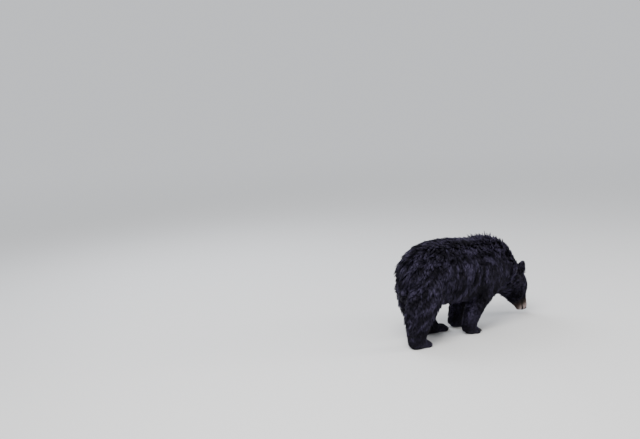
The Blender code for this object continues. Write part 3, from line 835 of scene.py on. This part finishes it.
def growCoat(skin):
    random = np.random.default_rng(tufts["seed"])
    mesh = skin.data
    points, normals, edges = pointsOf(mesh), normalsOf(mesh), edgesOf(mesh)
    fields = {"points": points, "normals": normals, "flow": flowAt(points, normals, edges, 60)}
    fields["coat"] = coatAt(points, normals, edges, 24)
    fields["kind"] = familiesAt(points)[:, None].astype(float)
    roots = Roots(skin, fields)
    crowd = crowdAt(points, normals, coatColumn(fields["coat"], "crowd"))
    found = roots.scatter(tufts["count"], crowd, random)
    print("roots:", len(found["points"]), "on", round(roots.areas.sum(), 2), "square metres")
    locks = placeLocks(roots, 1, random)
    bunches = placeLocks(roots, tufts["lockSpread"], random)
    lock = nearest(treeOf(locks["points"]), found["points"])
    bunch = nearest(treeOf(bunches["points"]), found["points"])
    shape(locks, locks["own"], random, 0.06)
    shape(bunches, bunches["own"], random, 0.04)
    shape(found, locks["own"][lock], random, 0.13)
    lines = centreLines(found)
    clump = coatColumn(found["coat"], "clump")
    gather(lines, found, bunches, bunch, clump * 0.5)
    gather(lines, found, locks, lock, clump)
    widest = cadBox[1][1] + tufts["past"]
    wide = np.abs(lines[..., 1])
    lines[..., 1] *= np.where(wide > widest, (widest + (wide - widest) * tufts["flatter"]) / wide, 1)
    uneven = np.clip(1 + random.normal(0, 0.2, len(lines)), 0.5, 1.6)
    widths = coatColumn(found["coat"], "width") * uneven
    corners = tuftCorners(lines, found["normals"], widths)
    kind = np.round(found["kind"][:, 0]).astype(int)
    tones = tonesOf(found, kind, locks["own"][lock, 3], bunches["own"][bunch, 3], random)
    return found, corners, tones, kind


found, corners, tones, kind = growCoat(bearSkin)
x, y = found["points"][:, 0], found["points"][:, 1]
onTrunk = areOf(kind, "trunk")
onMuzzle = areOf(kind, "head", "jaw") & (headPlaces(found["points"])[0] < 24)
twoSided = ["coatShoulder", "coatFlank", "coatRump", "coatLegFront", "coatLegHind"]
coatParts = {
    "coatShoulder": onTrunk & (x > -0.12),
    "coatFlank": onTrunk & (x <= -0.12) & (x > -0.42),
    "coatRump": onTrunk & (x <= -0.42),
    "coatNeck": areOf(kind, "neck"),
    "coatHead": areOf(kind, "head", "jaw", "ear") & ~onMuzzle,
    "coatMuzzle": onMuzzle,
    "coatTail": areOf(kind, "tail"),
    "coatLegFront": areOf(kind, "legFront"),
    "coatLegHind": areOf(kind, "legHind"),
    "coatPaws": areOf(kind, "paw"),
}
coatPieces = []
for name, part in coatParts.items():
    halves = {name + "Right": part & (y < 0), name + "Left": part & (y >= 0)}
    slot = "tan_coat" if name == "coatMuzzle" else "black_coat"
    for half, here in (halves if name in twoSided else {name: part}).items():
        coatPieces.append(coatPiece(half, corners[here], found["map"][here], tones[here]))
        print(half, here.sum() * len(tuftFaces), "triangles")


def selectFaces(piece, test):  # test says yes or no to a face's middle
    choose(piece)
    mesh = piece.data
    editSome(mesh, "polygons", [bool(test(face.center)) for face in mesh.polygons])


def buildNose():
    bpy.ops.mesh.primitive_uv_sphere_add(segments=48, ring_count=32, radius=1)
    nose = made("noseLeather")
    sizes = [size * unit for size in noseShape["size"]]
    ball = pointsOf(nose.data)
    power = noseShape["square"]
    ball /= (np.abs(ball) ** power).sum(1, keepdims=True) ** (1 / power)
    ball[:, 0] = np.where(ball[:, 0] > 0, ball[:, 0] * noseShape["front"], ball[:, 0])
    cleft = bell(ball[:, 1], 0.09) * ramp(ball[:, 0], 0.2, 0.6) * (1 - ramp(ball[:, 2], 0.1, 0.5))
    ball[:, 0] -= noseShape["cleft"] * cleft
    setPoints(nose.data, ball * np.array(sizes))
    across, up = noseShape["nostril"]
    wide, high = noseShape["nostrilSize"]
    for side in sides.values():
        def fromNostril(c):  # outwards and up
            return side * c.y / sizes[1] - across, c.z / sizes[2] - up

        def inNostril(c):
            y, z = fromNostril(c)
            return c.x > 0 and (y / wide) ** 2 + (z / high) ** 2 < 1

        def inSlit(c):  # a comma's tail, out and down from the hole
            y, z = fromNostril(c)
            return c.x > 0 and 0 < y < 0.56 and abs(z + y * noseShape["slit"] + 0.04) < 0.1

        for name, test in {"dip": lambda c: inNostril(c) or inSlit(c), "rim": inNostril}.items():
            selectFaces(nose, test)
            bpy.ops.mesh.inset(thickness=noseShape[name][0], depth=noseShape[name][1])
        move = (-noseShape["nostrilDepth"], -side * 0.002, 0.002)
        bpy.ops.mesh.extrude_region_move(TRANSFORM_OT_translate={"value": move})
        bpy.ops.transform.resize(value=(0.7, 0.7, 0.7))
    subdivide(nose)
    stand(nose, faceAxis, leftAxis, crownAxis, noseMiddle)
    applyPlace(nose)
    bpy.ops.object.shade_smooth()
    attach(nose, "root")
    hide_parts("nose")
    return nose


def buildEye(side):
    bpy.ops.mesh.primitive_uv_sphere_add(segments=40, ring_count=28, radius=eyeRadius)
    eye = made("eyeBall" + side.capitalize())
    for height, swell in eyes["cornea"]:
        selectFaces(eye, lambda c: c.z > eyeRadius * height)
        bpy.ops.transform.shrink_fatten(value=swell)
    subdivide(eye)
    outward, along, _ = eyeAxes(side)
    stand(eye, along, np.cross(outward, along), outward, eyeMiddles[side])
    applyPlace(eye)
    bpy.ops.object.shade_smooth()
    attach(eye, "root")
    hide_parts("eye_" + side)
    return eye


# one claw, which every toe gets a copy of, fitted to the box of its node
clawShape = {
    "sides": 12,
    "steps": 9,
    "girth": 0.16,  # half the root's width over the length
    "tall": 1.35,  # the root's height over its width
    "curl": radians(62),  # from the root to the point
    "point": 0.16,
    "grow": 1.06,  # over the node's box
}


def clawPattern():  # a curved horn along x, drawn out of a disc ring by ring
    disc = {"vertices": clawShape["sides"], "radius": clawShape["girth"], "fill_type": "NGON"}
    bpy.ops.mesh.primitive_circle_add(**disc, rotation=(0, radians(90), 0))
    claw = made("clawPattern")
    applyPlace(claw)
    edit(claw)
    bpy.ops.transform.resize(value=(1, 1, clawShape["tall"]))
    middle, turn, girth = Vector((0, 0, 0)), 0.0, 1.0
    steps = clawShape["steps"]
    bend = clawShape["curl"] / steps
    for step in range(steps):
        move = Vector((cos(turn), 0, -sin(turn))) / steps
        bpy.ops.mesh.extrude_region_move(TRANSFORM_OT_translate={"value": move})
        middle += move
        wanted = (1 - ((step + 1) / steps) ** 1.6) * (1 - clawShape["point"]) + clawShape["point"]
        bpy.ops.transform.resize(value=[wanted / girth] * 3, center_override=middle)
        bpy.ops.transform.rotate(value=-bend, orient_axis="Y", center_override=middle)
        girth, turn = wanted, turn + bend
    edit(claw)
    bpy.ops.mesh.normals_make_consistent(inside=False)
    subdivide(claw)
    return claw


def buildClaws(limb, pattern):
    plain = pointsOf(pattern.data)
    low, high = plain.min(0), plain.max(0)
    names = [name for name in nodes if name.startswith("claw_" + limb)]
    copies = []
    for name in names:
        start, end = (np.array(corner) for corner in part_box(name))
        middle, size = (start + end) / 2, (end - start) * clawShape["grow"]
        places = middle + ((plain - low) / (high - low) - 0.5) * size
        places[:, 2] = np.maximum(places[:, 2], 0.0006)
        copies.append(addObject(name + "_horn", pattern.data.copy()))
        setPoints(copies[-1].data, places)
    choose(*copies)
    bpy.ops.object.join()
    claws = made("claws" + "".join(word.capitalize() for word in limb.split("_")))
    bpy.ops.object.shade_smooth()
    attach(claws, "root")
    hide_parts(*names)
    return claws


noseLeather = buildNose()
eyeBalls = {side: buildEye(side) for side in sides}
pattern = clawPattern()
clawPieces = [buildClaws(limb, pattern) for limb in limbNames]
bpy.data.objects.remove(pattern)
print("nose, eyes and claws made")


def operator(name):
    return lambda self, *others: self.math(name, self, *others)


class Wire:  # a shader socket that is worked with as a number
    def __init__(self, tree, socket):
        self.tree = tree
        self.socket = socket

    def node(self, kind, settings=None, inputs=None, output=0):
        node = self.tree.nodes.new(kind)
        for name, value in (settings or {}).items():
            setattr(node, name, value)
        for name, value in (inputs or {}).items():
            if isinstance(value, Wire):
                self.tree.links.new(value.socket, node.inputs[name])
            else:
                node.inputs[name].default_value = value
        return Wire(self.tree, node.outputs[output])

    def math(self, operation, *values):
        return self.node("ShaderNodeMath", {"operation": operation}, dict(enumerate(values)))

    __add__ = __radd__ = operator("ADD")
    __mul__ = __rmul__ = operator("MULTIPLY")
    __sub__ = operator("SUBTRACT")
    __truediv__ = operator("DIVIDE")
    __pow__ = operator("POWER")
    __abs__ = operator("ABSOLUTE")
    most = operator("MAXIMUM")
    least = operator("MINIMUM")
    sine = operator("SINE")

    def __rsub__(self, other):
        return self.math("SUBTRACT", other, self)

    def step(self, start, end):  # 0 before start, 1 past end
        inputs = {"Value": self, "From Min": start, "From Max": end}
        return self.node("ShaderNodeMapRange", {"interpolation_type": "SMOOTHSTEP"}, inputs)

    def mix(self, first, second):  # two colours, self being the share of the second
        return self.node("ShaderNodeMix", {"data_type": "RGBA"}, {0: self, 6: first, 7: second}, 2)

    def noise(self, scale, detail):  # self is the place, here and below
        inputs = {"Vector": self, "Scale": scale, "Detail": detail}
        return self.node("ShaderNodeTexNoise", None, inputs)

    def vector(self, operation, output, *other):
        inputs = dict(enumerate((self, *map(tuple, other))))
        return self.node("ShaderNodeVectorMath", {"operation": operation}, inputs, output)

    def along(self, direction, start, size):  # how far from the start it is along a direction
        return self.vector("DOT_PRODUCT", 1, direction / size) - float(start @ direction / size)

    def bump(self, strength, distance):  # self is the height
        inputs = {"Height": self, "Strength": strength, "Distance": distance}
        return self.node("ShaderNodeBump", None, inputs)


def newMaterial(name, **constants):
    material = bpy.data.materials.new(name)
    material.use_nodes = True
    shader = material.node_tree.nodes["Principled BSDF"]
    for socket, value in constants.items():
        shader.inputs[socket.replace("_", " ")].default_value = value
    place = Wire(material.node_tree, None).node("ShaderNodeTexCoord", output=3)
    return material, shader, place


def feed(shader, **links):
    for socket, wire in links.items():
        wire.tree.links.new(wire.socket, shader.inputs[socket.replace("_", " ")])


colours = {
    "black": (0.0028, 0.0023, 0.0046, 1),  # the coat's, which skin and tufts share
    # the hair tips' violet: a painted sheen, the sky's bluish reflection put into the coat's colour
    "paintedSheenTip": (0.078, 0.067, 0.124, 1),
    "brown": (0.034, 0.02, 0.015, 1),
    "tan": (0.25, 0.19, 0.16, 1),
    "pale": (0.68, 0.555, 0.53, 1),
    "dark": (0.006, 0.005, 0.006, 1),
    "sheen": (0.86, 0.82, 1, 1),
    "nose": (0.004, 0.003, 0.004, 1),
    "noseWorn": (0.014, 0.011, 0.012, 1),
    "iris": (0.05, 0.021, 0.009, 1),
    "irisFibre": (0.018, 0.007, 0.004, 1),
    "irisRim": (0.004, 0.003, 0.003, 1),
    "eyeWhite": (0.03, 0.02, 0.017, 1),  # a bear's is brown
    "pupil": (0.001, 0.001, 0.001, 1),
    "claw": (0.007, 0.006, 0.006, 1),
    "clawStreak": (0.028, 0.022, 0.019, 1),
}

# from where to where each marking fades, in the head's units
markings = {
    "ragged": 5.0,
    "brown": (11.0, 19.0),  # behind the nose
    "tan": (6.5, 13.5),
    "pale": (4.5, 10.5),
    "nose": (1.6, 3.2),
    "tanUnder": (-11.0, -6.0),  # above the head's line
    "paleUnder": (-9.5, -5.5),
    "crown": (2.8, 5.0),  # the muzzle's darker top
    "crownStart": (2.0, 6.0),
    "lips": (0.35, 0.95),  # away from the mouth's line
    "lipEnd": 1.4,
    "eyes": (1.15, 1.9),  # over the eye's radius
}


def hairMarkings(place, black):  # tan on the muzzle's sides, brown round it, dark at the lips, nose and eyes
    behind = place.along(-faceAxis, noseTip, unit)
    above = place.along(crownAxis, noseTip, unit)
    ragged = place.noise(90.0, 4.0) * markings["ragged"] - markings["ragged"] / 2
    edge, under = behind + ragged, above + ragged * 0.3
    brown = 1 - edge.step(*markings["brown"])
    tan = (1 - edge.step(*markings["tan"])) * under.step(*markings["tanUnder"])
    pale = (1 - edge.step(*markings["pale"])) * under.step(*markings["paleUnder"])
    crown = (above + ragged * 0.5).step(*markings["crown"]) * behind.step(*markings["crownStart"])
    share = (behind / mouth["end"]).least(1.0)
    line = share * share * mouth["rise"] + mouth["line"] - (share * pi).sine() * mouth["sag"]
    apart = abs(above - line + ragged * 0.06)
    lipEnd = behind.step(mouth["end"], mouth["end"] + markings["lipEnd"])
    lips = (1 - apart.step(*markings["lips"])) * (1 - lipEnd)
    colour = brown.mix(black, colours["brown"])
    colour = (tan * 0.8).mix(colour, colours["tan"])
    colour = (pale * (1 - crown * 0.6)).mix(colour, colours["pale"])
    dark = lips.most(1 - behind.step(*markings["nose"]))
    start, end = (eyeRadius * reach for reach in markings["eyes"])
    for middle in eyeMiddles.values():
        dark = dark.most(1 - place.vector("DISTANCE", 1, middle).step(start, end))
    return dark.mix(colour, colours["dark"])


def fur(place):
    names = ["reach", "tone"]
    reach, tone = (place.node("ShaderNodeAttribute", {"attribute_name": name}, output=2) for name in names)
    # lighter and more violet towards the tips and on light locks: a painted sheen
    paintedSheen = (reach * 0.8 + 0.2) * (tone ** 2.5)
    black = paintedSheen.mix(colours["black"], colours["paintedSheenTip"])
    return {"Base_Color": hairMarkings(place, black), "Roughness": 0.56 - tone * 0.16}


def hide(place):
    black = place.noise(90.0, 3.0).mix(colours["black"], colours["dark"])
    hairs = place.noise(420.0, 4.0)
    looks = {"Base_Color": hairMarkings(place, black), "Roughness": 0.62 + hairs * 0.2}
    return looks | {"Normal": hairs.bump(0.6, 0.0015)}


def leather(place):
    cells = {"Vector": place, "Scale": 620.0}
    grain = place.node("ShaderNodeTexVoronoi", {"feature": "DISTANCE_TO_EDGE"}, cells).step(0.0, 0.22)
    worn = place.noise(70.0, 3.0)
    looks = {"Base_Color": worn.mix(colours["nose"], colours["noseWorn"]), "Roughness": 0.34 + worn * 0.2}
    return looks | {"Normal": grain.bump(0.7, 0.0008)}


def eyeColours(place, side):  # a black pupil in a dark brown iris, darker round its edge and outside it
    across, up = (place.along(axis, eyeMiddles[side], eyeRadius) for axis in eyeAxes(side)[1:])
    radius = (across * across + up * up) ** 0.5
    colour = place.noise(900.0, 3.0).mix(colours["iris"], colours["irisFibre"])
    colour = radius.step(0.5, 0.62).mix(colour, colours["irisRim"])
    colour = radius.step(0.66, 0.8).mix(colour, colours["eyeWhite"])
    return {"Base_Color": (1 - radius.step(0.24, 0.3)).mix(colour, colours["pupil"])}


def horn(place):
    drawn = place.node("ShaderNodeMapping", None, {"Vector": place, "Scale": (40.0, 420.0, 160.0)})
    streak = drawn.noise(1.0, 3.0)
    looks = {"Base_Color": streak.mix(colours["claw"], colours["clawStreak"])}
    return looks | {"Roughness": 0.38 + streak * 0.2, "Normal": streak.bump(0.35, 0.0004)}


def paint(pieces, name, looks, **constants):
    material, shader, place = newMaterial(name, **constants)
    feed(shader, **looks(place))
    for piece in pieces:
        piece.data.materials.append(material)


paint(coatPieces, "blackFur", fur, Specular_IOR_Level=0.22, Specular_Tint=colours["sheen"])
paint([bearSkin], "hideUnderFur", hide, Specular_IOR_Level=0.2)
paint([noseLeather], "dampLeather", leather, Specular_IOR_Level=0.3)
for side, eye in eyeBalls.items():
    looks = partial(eyeColours, side=side)
    paint([eye], "eye" + side.capitalize(), looks, Roughness=0.05, Specular_IOR_Level=0.2)
paint(clawPieces, "clawHorn", horn, Specular_IOR_Level=0.3)
print("materials made")


# the floor, the light and the camera
studio = {
    "floorReach": 60.0,
    "floorColour": (0.8, 0.8, 0.79, 1),
    "fade": (3.0, 14.0),  # from where to where the floor runs into the sky
    "sky": (0.84, 0.86, 0.9, 1),
    "skyStrength": 0.9,
    "lampPower": 260,
    "lampSize": 3.0,
    "aim": (0, 0, 0.4),
    "lamps": {  # place, power, size and colour
        "keyLamp": ((-3.4, -2.0, 5.3), 1.55, 1.0, (1, 0.98, 0.96)),
        "backLamp": ((-0.5, 4.2, 4.0), 0.55, 1.2, (0.86, 0.9, 1)),
        "faceLamp": ((4.6, -3.6, 2.4), 0.5, 0.6, (1, 0.97, 0.95)),
    },
}


def buildFloor():
    bpy.ops.mesh.primitive_circle_add(vertices=96, radius=studio["floorReach"], fill_type="NGON")
    floor = made("floor")
    constants = {"Roughness": 0.9, "Base_Color": studio["floorColour"]}
    material, shader, place = newMaterial("paleFloor", **constants)
    fade = place.vector("LENGTH", 1).step(*studio["fade"])
    sky = {"Color": studio["sky"], "Strength": studio["skyStrength"]}
    glow = place.node("ShaderNodeEmission", None, sky)
    base = Wire(material.node_tree, shader.outputs[0])
    joined = place.node("ShaderNodeMixShader", None, {0: fade, 1: base, 2: glow})
    feed(material.node_tree.nodes["Material Output"], Surface=joined)
    floor.data.materials.append(material)


def buildLight():
    world = bpy.data.worlds.new("softSky")
    bpy.context.scene.world = world
    world.use_nodes = True
    background = world.node_tree.nodes["Background"]
    background.inputs["Color"].default_value = studio["sky"]
    background.inputs["Strength"].default_value = studio["skyStrength"]
    for name, (place, power, size, colour) in studio["lamps"].items():
        lamp = bpy.data.lights.new(name, "AREA")
        lamp.energy = studio["lampPower"] * power
        lamp.size = studio["lampSize"] * size
        lamp.color = colour
        lampObject = addObject(name, lamp)
        lampObject.location = place
        aim = Vector(studio["aim"]) - Vector(place)
        lampObject.rotation_euler = aim.to_track_quat("-Z", "Y").to_euler()


view = {
    "azimuth": radians(-37),
    "height": radians(10),
    "roll": radians(2.5),
    "distance": 8.3,
    "lens": 56.6,
    "film": 36.0,  # its width, as the lens in millimetres
    "aside": 0.22547,  # the bear's middle is right of the frame's, and below it, in the frame's widths
    "below": 0.09766,
    "middleHeight": 0.4,
}


def buildCamera():
    low, high = np.array(cadBox)
    middle = (low + high) / 2
    middle[2] = view["middleHeight"]
    turn, rise, roll = view["azimuth"], view["height"], view["roll"]
    back = np.array([sin(turn) * cos(rise), -cos(turn) * cos(rise), sin(rise)])
    right = np.array([cos(turn), sin(turn), 0])
    up = np.cross(back, right)
    across = cos(roll) * right - sin(roll) * up
    upward = sin(roll) * right + cos(roll) * up
    frameWidth = view["film"] / view["lens"] * view["distance"]
    place = middle + back * view["distance"]
    place += (upward * view["below"] - across * view["aside"]) * frameWidth
    lens = bpy.data.cameras.new("camera")
    lens.lens = view["lens"]
    camera = addObject("camera", lens)
    stand(camera, across, upward, back, place)
    bpy.context.scene.camera = camera


buildFloor()
buildLight()
buildCamera()
print("studio set")
